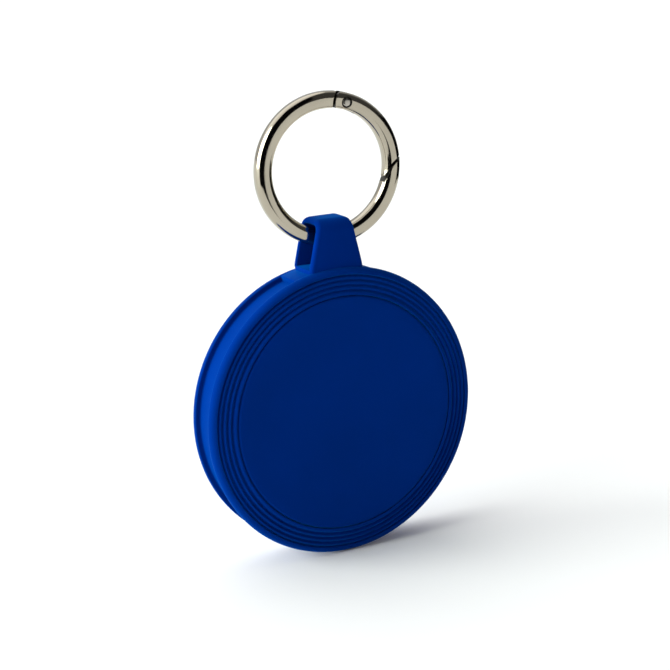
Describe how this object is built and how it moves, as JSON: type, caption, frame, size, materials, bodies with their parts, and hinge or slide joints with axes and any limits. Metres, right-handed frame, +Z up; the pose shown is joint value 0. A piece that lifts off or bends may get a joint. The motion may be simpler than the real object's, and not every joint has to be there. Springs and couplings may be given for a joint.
{
  "type": "bluetooth tracker tag",
  "caption": "Round two-flanged tracker tag with a pressable face, a coin cell inside and a strap that hangs it from a spring-gate ring.",
  "frame": {"origin": "lowest point of the disc's rim, in the middle plane of its thickness", "axes": "+Z up from the disc to the ring, +Y backwards from the grooved face to the battery door, +X to the right as seen from the front"},
  "size_m": [0.04, 0.0076, 0.0634],
  "materials": {
    "case": "smooth satin moulded plastic, deep blue",
    "strap": "soft satin elastomer, deep blue",
    "seal": "black silicone",
    "foam": "dark grey foam",
    "inner_frame": "charcoal grey moulding",
    "board": "green solder mask",
    "chip": "black epoxy",
    "ceramic": "sintered, matte",
    "contact": "thin sprung strip",
    "steel": "plain steel",
    "ring_metal": "polished, warm nickel plate"
  },
  "bodies": {
    "ring": {"ring_body": "ring_metal", "gate_pin": "ring_metal"},
    "gate": {"gate": "ring_metal", "gate_spring": "steel"},
    "tag": {"front_cover": "case", "mid_band": "case", "rear_cover": "case", "hanging_strap": "strap", "front_gasket": "seal", "rear_gasket": "seal", "carrier_frame": "inner_frame", "frame_screws": "steel", "circuit_board": "board", "radio_chip": "chip", "memory_chip": "chip", "crystal": "steel", "chip_antenna": "ceramic", "capacitors": "ceramic", "switch_body": "chip", "sounder_case": "chip", "sounder_plate": "contact", "sounder_ceramic": "ceramic", "cell_can": "steel", "cell_cap": "steel", "cell_grommet": "seal", "positive_contact": "contact", "negative_contact": "contact"},
    "press_button": {"press_panel": "case", "panel_nub": "seal", "switch_cap": "inner_frame"},
    "door": {"battery_door": "case", "door_seal": "seal", "door_pad": "foam"}
  },
  "joints": [
    {"name": "tag_swing", "type": "hinge", "parent": "ring", "child": "tag", "pos_m": [0.0004, 0, 0.04405], "axis": [1, 0, 0], "range_deg": [-100, 100]},
    {"name": "gate_hinge", "type": "hinge", "parent": "ring", "child": "gate", "pos_m": [0.00307, -0.00023, 0.06175], "axis": [0.0872, 0.9962, 0], "range_deg": [0, 28], "stiffness_Nm_per_rad": 0.004, "springref_deg": -22.92},
    {"name": "panel_press", "type": "slide", "parent": "tag", "child": "press_button", "axis": [0, 1, 0], "range_m": [0, 0.0003], "stiffness_N_per_m": 2000, "springref_m": -0.0002},
    {"name": "door_twist", "type": "hinge", "parent": "tag", "child": "door", "pos_m": [0, 0.0035, 0.02], "axis": [0, 1, 0], "range_deg": [0, 28]}
  ]
}
